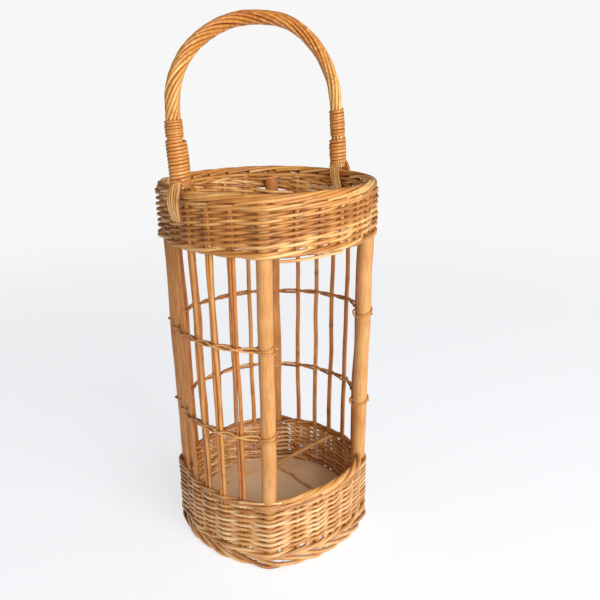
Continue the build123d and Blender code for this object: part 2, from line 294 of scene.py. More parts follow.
class Nodes:
    """Short calls for building a material's nodes."""

    def __init__(self, name):
        self.material = bpy.data.materials.new(name)
        self.material.use_nodes = True
        self.tree = self.material.node_tree
        self.shader = self.tree.nodes["Principled BSDF"]

    def new(self, kind, **settings):
        node = self.tree.nodes.new(kind)
        for key, value in settings.items():
            if key.startswith("in_"):
                node.inputs[int(key[3:])].default_value = value
            else:
                setattr(node, key, value)
        return node

    def set(self, name, value):
        """One value for the whole surface, on the shader's own socket."""
        self.shader.inputs[name].default_value = value

    def link(self, source, target):
        self.tree.links.new(source, target)

    def attribute(self, name, output):
        return self.new("ShaderNodeAttribute", attribute_name=name).outputs[output]

    def math(self, operation, a, b=None):
        node = self.new("ShaderNodeMath", operation=operation)
        for socket, value in zip(node.inputs, (a, b)):
            if value is None:
                continue
            if isinstance(value, (int, float)):
                socket.default_value = value
            else:
                self.link(value, socket)
        return node.outputs[0]

    def mix(self, blend, factor, a, b):
        node = self.new("ShaderNodeMix", data_type="RGBA", blend_type=blend)
        for socket, value in ((node.inputs[0], factor), (node.inputs[6], a), (node.inputs[7], b)):
            if hasattr(value, "is_output"):
                self.link(value, socket)
            elif isinstance(value, tuple):
                socket.default_value = (*value, 1)
            else:
                socket.default_value = value
        return node.outputs[2]

    def noise(self, vector, scale, detail=3.0, roughness=0.5):
        node = self.new("ShaderNodeTexNoise")
        for label, value in (("Scale", scale), ("Detail", detail), ("Roughness", roughness)):
            node.inputs[label].default_value = value
        self.link(vector, node.inputs["Vector"])
        return node.outputs[0]

    def ramp(self, factor, *stops):
        node = self.new("ShaderNodeValToRGB")
        while len(node.color_ramp.elements) < len(stops):
            node.color_ramp.elements.new(0.5)
        for element, (place, colour) in zip(node.color_ramp.elements, stops):
            element.position = place
            element.color = (*colour, 1)
        self.link(factor, node.inputs[0])
        return node.outputs[0]

    def scaled(self, vector, scale, offset=None):
        node = self.new("ShaderNodeVectorMath", operation="MULTIPLY")
        node.inputs[1].default_value = scale
        self.link(vector, node.inputs[0])
        if offset is None:
            return node.outputs[0]
        shift = self.new("ShaderNodeVectorMath", operation="ADD")
        self.link(node.outputs[0], shift.inputs[0])
        self.link(offset, shift.inputs[1])
        return shift.outputs[0]

    def bump(self, height, strength, distance):
        node = self.new("ShaderNodeBump")
        node.inputs["Strength"].default_value = strength
        node.inputs["Distance"].default_value = distance
        self.link(height, node.inputs["Height"])
        self.link(node.outputs[0], self.shader.inputs["Normal"])


def set_range(node, *ends):
    """The from and to values of a Map Range node."""
    for socket, value in zip(node.inputs[1:5], ends):
        socket.default_value = value


def linear(red, green, blue):
    """Scene colour for a colour given from 0 to 255 as a screen shows it."""
    return tuple(((v / 255 + 0.055) / 1.055) ** 2.4 for v in (red, green, blue))


def rod_material(
    name, dark, middle, light, gloss, roughness, streaks=0.5, painted_shade_in_creases=0.0, relief=0.35
):
    """Peeled willow or cane: tone from rod to rod, streaks along the grain, soft
    patches, dark knots, and a thin coat of varnish. Colours run from 0 to 255. The
    crease weight sets painted shade: how dark a rod is painted on the sides where its
    neighbours touch it."""
    n = Nodes(name)
    dark, middle, light = (linear(*colour) for colour in (dark, middle, light))
    grain = n.attribute("grain", "Vector")
    tone = n.attribute("tone", "Fac")
    knot = n.attribute("knot", "Fac")
    spread = n.new("ShaderNodeCombineXYZ")
    n.link(n.math("MULTIPLY", tone, 37.0), spread.inputs[2])
    n.link(n.math("MULTIPLY", tone, 11.0), spread.inputs[0])

    patches = n.noise(n.scaled(grain, (0.25, 0.25, 28.0), spread.outputs[0]), 1.0, 2.0)
    fibres = n.noise(n.scaled(grain, (3.2, 3.2, 42.0), spread.outputs[0]), 1.0, 4.0, 0.65)
    shade = n.math("ADD", n.math("MULTIPLY", tone, 0.55), n.math("MULTIPLY", patches, 0.9))
    shade = n.math("SUBTRACT", shade, 0.225)
    base = n.ramp(shade, (0.08, dark), (0.5, middle), (0.92, light))
    lines = n.ramp(fibres, (0.36, (0.62, 0.55, 0.47)), (0.56, (1.0, 1.0, 1.0)))
    streaked = n.mix("MULTIPLY", streaks, base, lines)
    knot_stain_and_painted_shade = n.mix("MULTIPLY", n.math("MULTIPLY", knot, 0.75), streaked, (0.32, 0.2, 0.12))
    # Painted shade in the creases: the sides of a rod that face its neighbours are darkened towards
    # a shadow brown.
    if painted_shade_in_creases > 0:
        across = n.new("ShaderNodeSeparateXYZ")
        n.link(grain, across.inputs[0])
        beside = n.math("ABSOLUTE", across.outputs[1])
        shadow = n.ramp(beside, (0.55, (1.0, 1.0, 1.0)), (0.95, (0.42, 0.28, 0.16)))
        knot_stain_and_painted_shade = n.mix("MULTIPLY", painted_shade_in_creases, knot_stain_and_painted_shade, shadow)
    n.link(knot_stain_and_painted_shade, n.shader.inputs["Base Color"])
    n.bump(fibres, relief, 0.0006)
    n.set("Roughness", roughness)
    n.set("Specular IOR Level", 0.4)
    n.set("Coat Weight", gloss)
    n.set("Coat Roughness", 0.28)
    return n.material


def board_material():
    """Raw hardboard: dull brown, fine fibre specks and faint scuffs."""
    n = Nodes("hardboard")
    place = n.new("ShaderNodeTexCoord").outputs["Object"]
    specks = n.noise(place, 900.0, 4.0, 0.7)
    scuffs = n.noise(place, 22.0, 3.0)
    base = n.ramp(scuffs, (0.3, linear(232, 196, 158)), (0.7, linear(246, 216, 180)))
    speckled = n.ramp(specks, (0.35, (0.7, 0.66, 0.6)), (0.6, (1.0, 1.0, 1.0)))
    n.link(n.mix("MULTIPLY", 0.7, base, speckled), n.shader.inputs["Base Color"])
    n.bump(specks, 0.3, 0.0004)
    n.set("Roughness", 0.8)
    return n.material


POST_CANE = rod_material(
    "post_cane", (182, 110, 48), (207, 143, 78), (224, 170, 108),
    gloss=0.08, roughness=0.5,
)
STAKE_WILLOW = rod_material(
    "stake_willow", (156, 88, 34), (200, 126, 54), (226, 164, 86),
    gloss=0.3, roughness=0.42, streaks=0.6,
)
WEAVE_WILLOW = rod_material(
    "weave_willow", (150, 82, 30), (212, 146, 72), (246, 204, 136),
    gloss=0.35, roughness=0.38, painted_shade_in_creases=0.55,
)
# A paler copy of the weave willow for the parts near the floor. The paleness is painted light: the
# bounce light from the bright floor.
PAINTED_FLOOR_LIGHT_WILLOW = rod_material(
    "painted_floor_light_willow", (158, 94, 42), (220, 160, 94), (248, 214, 162),
    gloss=0.3, roughness=0.42, painted_shade_in_creases=0.6,
)
BORDER_WILLOW = rod_material(
    "border_willow", (164, 92, 34), (218, 152, 74), (244, 202, 132),
    gloss=0.35, roughness=0.38,
)
RING_WILLOW = rod_material(
    "ring_willow", (150, 84, 36), (200, 134, 68), (232, 176, 108),
    gloss=0.35, roughness=0.4,
)
BOW_WILLOW = rod_material(
    "bow_willow", (168, 92, 24), (214, 142, 58), (250, 206, 128),
    gloss=0.35, roughness=0.38, painted_shade_in_creases=0.68, relief=0.12,
)
BINDING_CANE = rod_material(
    "binding_cane", (172, 94, 28), (214, 140, 58), (248, 200, 124),
    gloss=0.55, roughness=0.32, painted_shade_in_creases=1.0, relief=0.12,
)
BASE_CANE = rod_material(
    "base_cane", (172, 116, 62), (216, 160, 96), (236, 192, 132),
    gloss=0.1, roughness=0.55,
)


def core_material():
    """Plain brown wood for the core of the bow, which hardly shows."""
    n = Nodes("core_wood")
    n.set("Base Color", (*linear(140, 84, 40), 1))
    n.set("Roughness", 0.6)
    return n.material


CORE_WOOD = core_material()
HARDBOARD = board_material()

# ---- Uprights ----------------------------------------------------------------------


def upright_path(choose, number, bottom, top, sideways=(0.0, 0.0), wave=0.5 * MM):
    """A nearly straight rod up the wall. sideways is its shift at the foot and head."""
    heights = np.linspace(bottom, top, max(6, round((top - bottom) / (4 * MM))))
    shifts = np.linspace(sideways[0], sideways[1], len(heights))
    path = np.array([wall_point(number, z, 0, s) for z, s in zip(heights, shifts)])
    waves = slow_waves(choose, heights - bottom, wave, 0.16)
    waves[:, 2] = 0
    ends = np.clip(np.minimum(heights - bottom, top - heights) / (30 * MM), 0, 1)
    return path + waves * ends[:, None]


# How a post's head is cut: how far each step rises and leans in, and how much narrower
# it is, in millimetres
HEAD_CUT = ((0.8, 1.2), (1.8, 2.8))


def make_posts():
    """The four posts. Each one's head leans in and narrows, so the border covers it."""
    # The tones paint shade: the back posts, which stand in shade, are darker than the front ones.
    posts = (
        (0, "back_right", 0.2),
        (6, "back_left", 0.35),
        (12, "front_left", 0.75),
        (18, "front_right", 0.85),
    )
    for number, place, tone in posts:
        rods = Rods(100 + number)
        path = upright_path(rods.random, number, UPRIGHT_FOOT, POST_HEAD, wave=0.45 * MM)
        radii = POST_RADIUS + slow_waves(rods.random, along(path), 0.14 * MM, 0.2)[:, 0]
        cut = [wall_point(number, POST_HEAD + rise * MM, -rise * MM) for rise, _ in HEAD_CUT]
        path = np.concatenate((path, cut))
        radii = np.concatenate((radii, [POST_RADIUS - less * MM for _, less in HEAD_CUT]))
        rods.add(path, radii, sides=28, tone=tone)
        rods.build(f"cane_post_{place}", [f"post_{place}"], POST_CANE)


def make_stakes():
    """Single stakes, and on the left side pairs of thinner rods that close up higher."""
    groups = (
        ("back", 202, BACK_SIDE, UPRIGHT_FOOT, UPRIGHT_HEAD),
        ("right", 220, RIGHT_SIDE, UPRIGHT_FOOT, UPRIGHT_HEAD),
        ("front_lower", 214, OPEN_SIDE, UPRIGHT_FOOT, LOW_BAND_TOP),
        ("front_upper", 256, OPEN_SIDE, HIGH_BAND_BOTTOM, UPRIGHT_HEAD),
    )
    for name, seed, numbers, bottom, top in groups:
        rods = Rods(seed)
        for number in numbers:
            path = upright_path(rods.random, number, bottom, top, wave=0.6 * MM)
            radii = np.linspace(1.06, 0.94, len(path)) * STAKE_RADIUS
            rods.add(path, radii, knots=0.11)
        rods.build(f"willow_{name}_stakes", [f"{name}_stakes"], STAKE_WILLOW)
    for name, seed, side in (("left_stakes", 259, -1), ("left_bye_stakes", 261, 1)):
        rods = Rods(seed)
        spread = (3.2 * MM * side, 1.5 * MM * side)
        for number in LEFT_SIDE:
            path = upright_path(
                rods.random, number, UPRIGHT_FOOT, UPRIGHT_HEAD, spread, wave=0.35 * MM
            )
            rods.add(path, PAIR_RADIUS * rods.random.uniform(0.94, 1.06), knots=0.12)
        rods.build(f"willow_{name}", [name], STAKE_WILLOW)


# ---- Weaving -----------------------------------------------------------------------

SAMPLES = 11  # points on a rod for each gap between uprights
STAKE_BEND, POST_BEND = 0.13, 0.22  # share of a gap in which a rod bends round an upright
POST_PRESS = 1.2 * MM  # how far a rod is pressed into a front post
POST_SLACK = 1.0 * MM  # how far a rod stands off a back post
WANDER = 0.45 * MM  # how far a rod strays at an upright
PULL = 0.56  # how tightly rods are pulled in beside a stake
# Where a rod that runs into a post is, in half thicknesses out from the post's middle
INTO_BACK_POST, INTO_FRONT_POST = 0.8, 0.3


def bend_at(number):
    return POST_BEND if is_post(number) else STAKE_BEND


def crossing_share(t, near_bend, far_bend):
    """How far through the wall a rod is, part way from one upright to the next: it
    bends round each upright and runs straight between them."""
    slope = 1 / (1 - (near_bend + far_bend) / 2)
    if t < near_bend:
        return slope * t**2 / (2 * near_bend)
    if t > 1 - far_bend:
        return 1 - slope * (1 - t) ** 2 / (2 * far_bend)
    return slope * (t - near_bend / 2)


def clearance(number, radius, side, round_back_posts):
    """Distance out from the line of uprights to a rod that passes one of them. Rods are
    pulled tight against a thin stake. Where they would pass inside a post they run into
    it, or go round the back ones if round_back_posts is true."""
    if not is_post(number):
        return side * PULL * (half_thickness(number) + radius)
    at_back = number % COUNT in BACK_POSTS
    if side > 0:
        return half_thickness(number) + radius + (POST_SLACK if at_back else -POST_PRESS)
    if round_back_posts and at_back:
        return -half_thickness(number) - radius
    return (INTO_BACK_POST if at_back else INTO_FRONT_POST) * half_thickness(number)


def weave(rods, first, last, height, side, radii, round_back_posts=True, **looks):
    """A rod woven from one place to another. height(place) is its height, side(number)
    is 1 where it passes outside an upright and -1 where inside, and radii are the
    radii of its two ends."""
    choose = rods.random
    numbers = range(math.floor(first) - 1, math.ceil(last) + 2)
    shift = {n: (choose.uniform(-1, 1) * WANDER, choose.uniform(-1, 1) * WANDER) for n in numbers}
    places = np.linspace(first, last, max(5, round((last - first) * SAMPLES) + 1))
    thickness = np.linspace(radii[0], radii[1], len(places))
    path, outward = [], []
    for place, radius in zip(places, thickness):
        number = math.floor(place)
        t = place - number
        near, far = (
            clearance(n, radius, side(n), round_back_posts) + shift[n][0]
            for n in (number, number + 1)
        )
        share = crossing_share(t, bend_at(number), bend_at(number + 1))
        lift = shift[number][1] + (shift[number + 1][1] - shift[number][1]) * share
        out = near + (far - near) * share
        path.append(wall_point(place, height(place) + lift, out))
        turn = math.radians(upright_angle(place))
        outward.append((math.cos(turn), math.sin(turn), 0.0))
    rods.add(path, thickness, facing=outward, **looks)


def add_randing(rods, bottom, top, layer, butt, tip, round_posts):
    """French randing: a tapered rod starts in each gap, and all climb side by side.
    One rod in round_posts goes round the inner sides of the back posts."""
    gaps = (top - bottom) / layer
    for start in range(COUNT):
        vary = rods.random.uniform(0.9, 1.1)
        weave(
            rods,
            start + 0.4,
            start + 0.5 + gaps + rods.random.uniform(-0.3, 0.3),
            lambda place: bottom + (place - start - 0.5) * layer,
            lambda number: 1 if (number - start) % 2 == 0 else -1,
            (butt * vary, tip * vary),
            start % round_posts == 0,
            knots=0.09,
        )


def add_wale(rods, middle, climb, radius):
    """Waling: each of three strands passes outside two uprights as it rises, then
    behind one."""
    for strand in range(3):
        first = strand + 0.5 + rods.random.uniform(0, 0.2)

        def height(place):
            step = (place - strand - 0.5) % 3
            if step <= 2:
                return middle - climb * math.cos(math.pi * step / 2)
            return middle + climb * math.cos(math.pi * (step - 2))

        weave(
            rods,
            first,
            first + COUNT + 0.8,
            height,
            lambda number: -1 if (number - strand) % 3 == 0 else 1,
            (radius * 1.05, radius * 0.95),
            knots=0.1,
        )


def add_end(rods, first, last, start, rise, radius):
    """A loose strand end along the outside of the wall, which rises from its start on
    the way from the first place to the last."""
    path = []
    for place in np.linspace(first, last, 22):
        share = (place - first) / (last - first)
        out = (5.5 + 1.2 * math.sin(3 * place)) * MM
        path.append(wall_point(place, start + rise * share, out))
    rods.add(smooth_route(path[::3] + path[-1:]), radius, tone=0.95)


def make_bands():
    """Both bands: randing, and waling at the edges. In the upper band one more rod runs
    round inside all the uprights, to hide the heads of the back posts."""
    layer, butt, tip = 3.6 * MM, 2.6 * MM, 2.15 * MM
    rods = Rods(11)
    add_randing(rods, BASE_WALE_TOP + 1 * MM, LOW_WEAVE_TOP, layer, butt, tip, 1)
    rods.build("lower_randing", ["lower_weave"], PAINTED_FLOOR_LIGHT_WILLOW)

    rods = Rods(12)
    closing = WEAVE_TOP - 3.2 * MM
    add_randing(rods, HIGH_WALE_TOP + 1 * MM, closing, layer, butt, tip, 3)
    add_wale(rods, closing, 2.1 * MM, 2.1 * MM)
    weave(
        rods,
        0.3,
        COUNT + 1.2,
        lambda place: WEAVE_TOP + 0.6 * MM,
        lambda number: -1,
        (2.6 * MM, 2.4 * MM),
    )
    rods.build("upper_randing", ["upper_weave"], WEAVE_WILLOW)

    rods = Rods(21)
    add_wale(rods, (FOOT_TOP + BASE_WALE_TOP) / 2, 2.7 * MM, 2.8 * MM)
    rods.build("base_waling", ["base_wale"], PAINTED_FLOOR_LIGHT_WILLOW)

    rods = Rods(22)
    add_wale(rods, (LOW_WEAVE_TOP + LOW_BAND_TOP) / 2, 2.2 * MM, 2.2 * MM)
    add_end(rods, 34.9, 36.4, LOW_BAND_TOP - 2 * MM, 3.5 * MM, 2.0 * MM)
    rods.build("lower_edge_waling", ["lower_top_wale"], PAINTED_FLOOR_LIGHT_WILLOW)

    rods = Rods(23)
    add_wale(rods, (HIGH_BAND_BOTTOM + HIGH_WALE_TOP) / 2, 2.6 * MM, 2.6 * MM)
    add_end(rods, 12.45, 14.9, HIGH_BAND_BOTTOM - 4.5 * MM, 3.0 * MM, 1.9 * MM)
    rods.build("upper_edge_waling", ["upper_wale"], WEAVE_WILLOW)


# ---- Borders -----------------------------------------------------------------------


BULGE_WIDTH = 0.8  # how far from a post its push on the border fades, in gaps
ROLL_END = 200  # degrees of turn where a rolled strand ends, down inside the border


def post_bulge(place, size):
    """How far a border is pushed out by the head of a post near a place."""
    nearest = SIDE_GAPS * round(place / SIDE_GAPS)
    return size * math.exp(-(((place - nearest) / BULGE_WIDTH) ** 2))


def rolled_strand(rods, number, middle, reach, turns, radius, root_depth, bulge, limit=None):
    """A stake end rolled into a border: it bends to the right, up over the outside of
    its neighbours, across the top and down inside. reach is how far its line goes out
    and up from the middle of the border, turns are degrees at its start and for each
    gap that it passes, bulge is how far posts push it out, and limit is the place where
    it stops."""
    choose = rods.random
    angle, rate = turns
    twist = choose.uniform(-7, 7)
    path = [
        wall_point(number, middle - root_depth, 0.5 * MM),
        wall_point(number + 0.05, middle - root_depth * 0.55, 1.4 * MM),
    ]
    for step in np.arange(0.34, (ROLL_END - angle) / rate, 0.3):
        if limit is not None and number + step > limit:
            break
        turn = math.radians(angle + rate * step + twist)
        out = reach[0] * math.cos(turn) * min(1.0, 0.6 + step * rate / 160) + 0.6 * MM
        out += post_bulge(number + step, bulge)
        z = middle + reach[1] * math.sin(turn)
        path.append(wall_point(number + step, z, out))
    if len(path) < 5:
        return
    route = smooth_route(path, 3.2 * MM)
    route += slow_waves(choose, along(route), 0.12 * MM, 0.08)
    radii = np.linspace(1.05, 0.85, len(route)) * radius * choose.uniform(0.94, 1.05)
    rods.add(route, radii, sides=14, knots=0.12)


def make_rim_border():
    rods = Rods(31)
    radius = 2.45 * MM
    middle = (WEAVE_TOP + RIM_TOP) / 2 - 0.6 * MM
    reach = (4.6 * MM, RIM_TOP - radius - middle)
    turns, root_depth, bulge = (-86, 58), 18 * MM, 3.6 * MM
    for number in range(COUNT):
        rolled_strand(rods, number, middle, reach, turns, radius, root_depth, bulge)
    rods.build("rolled_rim", ["rim_border"], BORDER_WILLOW)


def make_sill():
    """Braided edge between the front posts, made like the rim but in shorter turns and
    with two strands to each upright."""
    rods = Rods(41)
    radius = 2.7 * MM
    middle = SILL_TOP - 5.6 * MM
    reach = (3.8 * MM, 3.4 * MM)
    turns, root_depth = (-80, 112), 9 * MM
    limit = FRONT_RIGHT_POST - 0.15
    for number in range(FRONT_LEFT_POST, FRONT_RIGHT_POST - 1):
        for lag in (0.0, 0.28):
            start = number + lag
            rolled_strand(rods, start, middle, reach, turns, radius, root_depth, 0, limit)
    rods.build("braided_sill", ["front_sill"], BORDER_WILLOW)


FLOOR_GAP = 0.35 * MM  # keeps the plait's swelling knots off the floor


def make_foot_border():
    """Foot plait: each stake end curves down to the right, outside the next upright, to
    the floor, and turns in under the following one."""
    rods = Rods(37)
    choose = rods.random
    radius = 3.0 * MM
    out_gaps, down_gaps, tuck_start = 1.5, 2.2, 1.9
    tuck_rate = 9 * MM  # for each gap past the place where the end turns in
    bend = 0.4  # share of a gap in which an end bends round an upright
    for number in range(COUNT):
        vary = choose.uniform(0.94, 1.0)
        slack = choose.uniform(0, 0.8) * MM
        path = []
        for step in np.arange(-0.1, 2.5, 0.15):
            place = number + step
            near, t = math.floor(place), place % 1
            cover = (half_thickness(near) + radius, half_thickness(near + 1) + radius)
            passing = cover[0] + (cover[1] - cover[0]) * crossing_share(t, bend, bend)
            swing = math.sin(math.pi * min(max(step / out_gaps, 0), 1) / 2) ** 0.7
            tuck = max(0.0, step - tuck_start) * tuck_rate
            fall = 0.5 + 0.5 * math.cos(math.pi * min(max(step, 0) / down_gaps, 1))
            z = radius + FLOOR_GAP + (FOOT_TOP - radius) * fall
            path.append(wall_point(place, z, (passing + slack) * swing - tuck))
        rods.add(smooth_route(path, 3.2 * MM), radius * vary, sides=14, knots=0.12)
    rods.build("foot_plait", ["foot_border"], PAINTED_FLOOR_LIGHT_WILLOW)


# ---- Twined rings ------------------------------------------------------------------


def make_ring(name, seed, drift):
    """Two strands twined round the closed sides, from front post to front post. They
    part round each upright and change places in each gap, where they touch. drift is
    (place, millimetres up), for a ring that wasn't twined level. Two thin strands run
    outside it, and cross at each of the last three pairs of the left side."""
    rods = Rods(seed)
    drift = np.array(drift, float)
    middle = (low(name).z + high(name).z) / 2
    radius = 1.75 * MM
    reach = 0.3  # share of a gap in which a strand comes in from beside an upright
    samples = 14  # points for each gap
    first, last = FRONT_RIGHT_POST, FRONT_LEFT_POST + COUNT
    thin_radius, thin_swing, thin_start, thin_end = 1.15 * MM, 2.8 * MM, last - 3.5, last - 0.1
    for strand in (0, 1):
        path = []
        lifts = [rods.random.uniform(-0.7, 0.7) * MM for _ in range(last + 2)]
        for place in np.linspace(first, last, (last - first) * samples + 1):
            number = math.floor(place)
            t = place - number
            turn = math.pi * (place + strand)
            out = radius * math.cos(turn)
            for n, gap in ((number, t), (number + 1, 1 - t)):
                if gap < reach:
                    hug = 0.5 + 0.5 * math.cos(math.pi * gap / reach)
                    sign = 1 if (n + strand) % 2 == 0 else -1
                    out += sign * half_thickness(n) * hug
            lift = lifts[number] + (lifts[number + 1] - lifts[number]) * t
            lift += np.interp(place, drift[:, 0], drift[:, 1]) * MM
            z = middle + lift + radius * math.sin(turn)
            path.append(wall_point(place, z, out))
        rods.add(path, radius * rods.random.uniform(0.92, 1.05), knots=0.08)
    for side in (-1, 1):
        path = []
        for place in np.linspace(thin_start, thin_end, 64):
            hug = 0.75 + 0.25 * math.cos(2 * math.pi * place)
            out = (PAIR_RADIUS + 1.6 * radius) * hug
            z = middle + side * thin_swing * math.sin(math.pi * place)
            path.append(wall_point(place, z, out))
        rods.add(path, thin_radius, tone=0.95, knots=0.06)
    rods.build(f"twined_{name}", [name], RING_WILLOW)


def post_turns(number, middle, radius, steps):
    """A strand round a post. steps are (turn in degrees, rise, gap off the post), where
    turn 0 looks out from the wall and 90 on to the right."""
    turns, rises, gaps = np.array(steps, float).T
    wanted = np.arange(turns.min(), turns.max() + 1, 8.0)
    order = np.argsort(turns)
    path = []
    for turn in wanted:
        z = middle + np.interp(turn, turns[order], rises[order])
        reach = POST_RADIUS + radius + np.interp(turn, turns[order], gaps[order])
        c, s = math.cos(math.radians(turn)), math.sin(math.radians(turn))
        path.append(wall_point(number, z, reach * c, reach * s))
    return smooth_route(path, 2 * MM)


def make_ring_wraps(name, seed, right_rise):
    """The ring's ends: two strokes and a knot on the front left post, and a slanting
    loop with a curled end on the front right one, which right_rise moves up."""
    rods = Rods(seed)
    middle = (low(name).z + high(name).z) / 2
    radius = 1.35 * MM
    left, right = FRONT_LEFT_POST, FRONT_RIGHT_POST
    loops = (
        (left, ((-95, -0.8, 0.2), (0, 1.6, 0), (95, 6.0, 0), (180, 3.6, 0.6), (262, 1.0, 1.2))),
        (left, ((-100, -1.6, 0.4), (0, -2.6, 0), (95, -4.4, 0), (200, -3.0, 0.6))),
        (left, ((60, 4.6, 3.2), (110, 0.5, 3.4), (150, -3.6, 1.0))),
        (right, ((-250, -3.0, 0.6), (-180, -5.4, 0.2), (-90, -1.4, 0), (0, 4.4, 0.2), (40, 6.4, 1))),
        (right, ((-205, -6.4, 0.8), (-150, -6.0, 0.4), (-90, -3.8, 0), (-35, -0.6, 0))),
        (right, ((-232, 3.5, 1.2), (-186, 1.4, 3.6), (-150, -3.0, 3.6))),
    )
    for number, steps in loops:
        steps = [(turn, rise * MM, gap * MM) for turn, rise, gap in steps]
        level = middle + (right_rise if number == right else 0)
        rods.add(post_turns(number, level, radius, steps), radius * 0.97, tone=0.85, knots=0.05)
    rods.build(f"wound_{name}", [name], RING_WILLOW)


# ---- Bow ---------------------------------------------------------------------------

# The bow's centre line in the XZ plane: millimetres across and up
BOW_ROUTE = (
    (-139.5, 506.0),
    (-146.0, 600.0),
    (-139.0, 634.0),
    (-113.0, 668.0),
    (-62.0, 695.0),
    (-5.0, 702.5),
    (48.0, 697.0),
    (94.0, 670.0),
    (121.0, 636.0),
    (133.5, 602.0),
    (139.5, 506.0),
)
BOW_PATH = smooth_route([(x * MM, 0, z * MM) for x, z in BOW_ROUTE], 2.5 * MM)
BOW_TANGENT = np.gradient(BOW_PATH, axis=0)
BOW_TANGENT /= np.linalg.norm(BOW_TANGENT, axis=1)[:, None]
BOW_OUTWARD = np.cross(BOW_TANGENT, (0, 1, 0))  # away from the hollow of the bow
BOW_NEAR = np.array((0.0, -1.0, 0.0))  # towards the open side
BOW_ALONG = along(BOW_PATH)


def beside_bow(place, turn, reach_out, reach_near):
    """Point beside the bow, at a length along it and a turn about it."""
    base = [np.interp(place, BOW_ALONG, BOW_PATH[:, i]) for i in range(3)]
    outward = np.array([np.interp(place, BOW_ALONG, BOW_OUTWARD[:, i]) for i in range(3)])
    out, near = reach_out * math.cos(turn), reach_near * math.sin(turn)
    return np.array(base) + outward * out + BOW_NEAR * near


def make_roping():
    """Ten willow strands twisted round the core, steeply on the left leg and hardly at
    all on the right one. Their tone is painted light on the legs and painted shade
    over the top."""
    rods = Rods(53)
    choose = rods.random
    strands, radius, reach = 10, 2.25 * MM, 6.7 * MM
    share = BOW_ALONG / BOW_ALONG[-1]
    slant = np.interp(share, (0, 0.2, 0.45, 0.7, 1), np.radians((24, 20, 13.5, 8, 5.5)))
    # Painted light and shade along the bow: the tone is raised on the legs and lowered over the top.
    shade = np.interp(share, (0, 0.25, 0.45, 0.6, 0.8), (0.85, 0.7, 0.1, 0.3, 0.95))
    twist = np.concatenate(([0], np.cumsum(np.tan(slant[1:]) / reach * np.diff(BOW_ALONG))))
    for strand in range(strands):
        drift = slow_waves(choose, BOW_ALONG, 0.05, 0.16)[:, 0]
        lift = slow_waves(choose, BOW_ALONG, 0.16 * MM, 0.14)[:, 0]
        turn = 2 * math.pi * strand / strands + twist + drift
        path = (
            BOW_PATH
            + BOW_OUTWARD * ((reach + lift) * np.cos(turn))[:, None]
            + BOW_NEAR * ((reach + lift) * np.sin(turn))[:, None]
        )
        tone = choose.uniform(-0.22, 0.22) + shade
        rods.add(
            path,
            radius * choose.uniform(0.92, 1.05),
            sides=16,
            facing=path - BOW_PATH,
            tone=tone,
            knots=0.13,
        )
    rods.build("twisted_bow", ["handle_roping"], BOW_WILLOW)


def height_to_length(z, on_left):
    """Length along the bow at a height on one of its legs."""
    half = len(BOW_PATH) // 2
    span = slice(0, half) if on_left else slice(half, None)
    heights, lengths = BOW_PATH[span, 2], BOW_ALONG[span]
    return float(np.interp(z, heights, lengths) if on_left else np.interp(-z, -heights, lengths))


# Wrappings of the legs, in millimetres: name, seed, bottom, top, half width across the
# bow's plane, half depth, pitch, half the cane's thickness, shift into the bow's hollow
BINDINGS = (
    ("left_upper_binding", 61, 562, 585, 10.9, 10.7, 3.1, 1.25, 0.0),
    ("left_lower_binding", 62, 509, 563, 13.6, 11.6, 4.1, 1.8, 1.8),
    ("right_upper_binding", 63, 546, 587, 10.9, 10.7, 4.5, 1.5, 0.0),
    ("right_lower_binding", 64, 509, 547, 12.8, 11.6, 4.8, 1.9, 1.2),
)
BINDING_WAVES = 0.15 * MM  # how unevenly a cane is wound
BINDING_WIDTH = 0.53  # half width of a cane, as a share of its pitch


def make_binding(name, seed, *sizes):
    """A flattened cane wound round a leg of the bow, with the sizes of its BINDINGS row."""
    bottom, top, width, depth, pitch, radius, shift = (size * MM for size in sizes)
    rods = Rods(seed)
    choose = rods.random
    on_left = name.startswith("left")
    start, end = (height_to_length(z, on_left) for z in (bottom, top))
    start, end = min(start, end) + pitch / 2, max(start, end) - pitch / 2
    turns = (end - start) / pitch
    steps = round(turns * 26)  # points for each turn
    path, outward = [], []
    waves = slow_waves(choose, np.linspace(0, 1, steps + 1), BINDING_WAVES, 0.23)
    for step in range(steps + 1):
        share = step / steps
        turn = 2 * math.pi * turns * share
        place = start + (end - start) * share
        swell = math.sin(math.pi * min(max(share, 0.02), 0.98)) ** 0.35
        reach_out = (width - radius) * (0.9 + 0.1 * swell)
        reach_near = (depth - radius) * (0.9 + 0.1 * swell)
        centre = beside_bow(place, math.pi, shift * swell, 0)
        rim = beside_bow(place, turn, reach_out, reach_near)
        axis = beside_bow(place, 0, 0, 0)
        path.append(rim + centre - axis + waves[step])
        outward.append(rim - axis)
    flat = pitch * BINDING_WIDTH
    rods.add(path, radius, width=flat, facing=outward, sides=16, tone=0.5, knots=0.12)
    rods.build(f"wound_{name}", [name], BINDING_CANE)


# Levels of the ribbons, in millimetres: distance across from the axis, height, middle and
# whole spread of the strands towards the back, and how far the outermost two are pulled in
OUTER_RIBBON = (
    (145.0, 520, -1, 8, 2.0),
    (148.5, 511, -2, 14, 2.0),
    (151.0, 502, -1, 18, 1.0),
    (152.0, 492, 0, 19, 0.0),
    (150.0, 480, 1, 17, 0.0),
    (146.0, 468, 2, 13, 0.0),
)
LEFT_INNER_RIBBON = (
    (148.0, 516, -6, 6, 0.0),
    (143.0, 511, -12, 5, 1.0),
    (133.0, 507, -11, 9, 1.0),
    (125.5, 500, -6, 13, 0.0),
    (121.5, 484, -3, 13, 0.0),
    (121.5, 468, -2, 13, 0.0),
)
RIGHT_INNER_RIBBON = (
    (133.5, 520, 0, 13, 1.0),
    (129.0, 509, -1, 15, 0.5),
    (124.5, 500, -5, 15, 0.0),
    (121.5, 487, -11, 13, 0.0),
    (121.0, 474, -16, 12, 0.0),
    (121.5, 462, -19, 11, 0.0),
)


